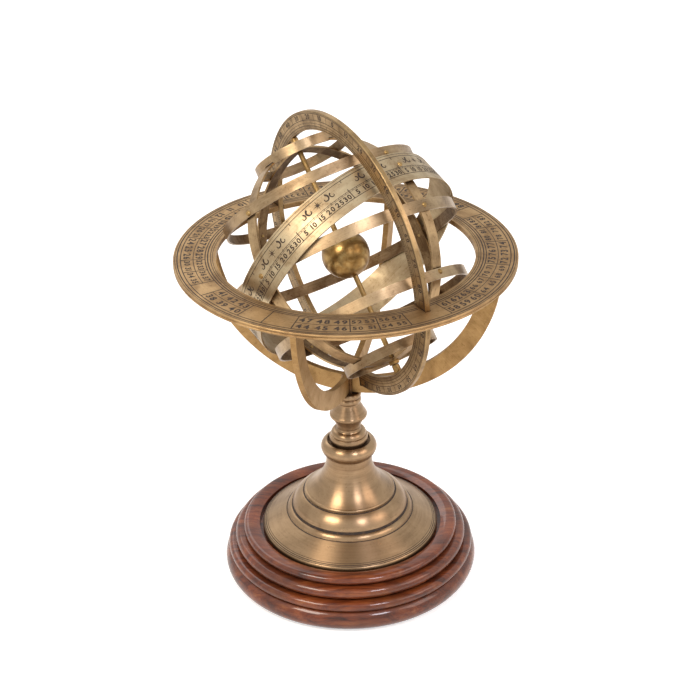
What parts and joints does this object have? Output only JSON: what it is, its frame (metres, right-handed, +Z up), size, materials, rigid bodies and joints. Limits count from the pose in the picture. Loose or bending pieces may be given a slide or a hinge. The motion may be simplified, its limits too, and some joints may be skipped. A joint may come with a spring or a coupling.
{
  "type": "armillary sphere",
  "caption": "Table armillary sphere: brass rings and bands turning in a meridian ring, on a half-ring cradle, turned stem, bell foot and stepped wooden base.",
  "frame": {"origin": "middle of the underside of the wooden base, on the stem's axis", "axes": "+Z up along the stem, -Y towards the picture's camera, +X to its right"},
  "size_m": [0.1778, 0.1778, 0.2681],
  "materials": {
    "rosewood": "gloss lacquered",
    "turned_brass": "satin antique",
    "ring_brass": "engraved, antique",
    "brass": "satin antique",
    "steel": "zinc plated"
  },
  "bodies": {
    "stand": {"wood_base": "rosewood", "bell_foot": "turned_brass", "stem_collar": "turned_brass", "stem_baluster": "turned_brass", "tie_rod": "steel", "base_washer": "steel", "base_nut": "steel", "cradle_post": "turned_brass", "front_cradle_arm": "ring_brass", "side_cradle_arm": "ring_brass", "horizon_ring": "ring_brass"},
    "meridian": {"meridian_ring": "ring_brass", "north_pivot": "brass", "south_pivot": "brass"},
    "sphere": {"axis_rod": "brass", "earth_globe": "brass", "pole_nuts": "brass", "solstitial_colure": "brass", "equinoctial_colure": "brass", "equator_band": "brass", "north_tropic_band": "brass", "south_tropic_band": "brass", "arctic_ring": "brass", "antarctic_ring": "brass", "zodiac_band": "brass", "equator_rivets": "brass", "equinox_rivets": "brass", "solstice_rivets": "brass", "north_tropic_rivets": "brass", "south_tropic_rivets": "brass"}
  },
  "joints": [
    {"name": "latitude_turn", "type": "hinge", "parent": "stand", "child": "meridian", "pos_m": [0, 0, 0.1913], "axis": [0.8551, 0.5138, 0.0698], "continuous": true},
    {"name": "daily_turn", "type": "hinge", "parent": "meridian", "child": "sphere", "pos_m": [0, 0, 0.1913], "axis": [-0.3891, 0.5469, 0.7413], "continuous": true}
  ]
}
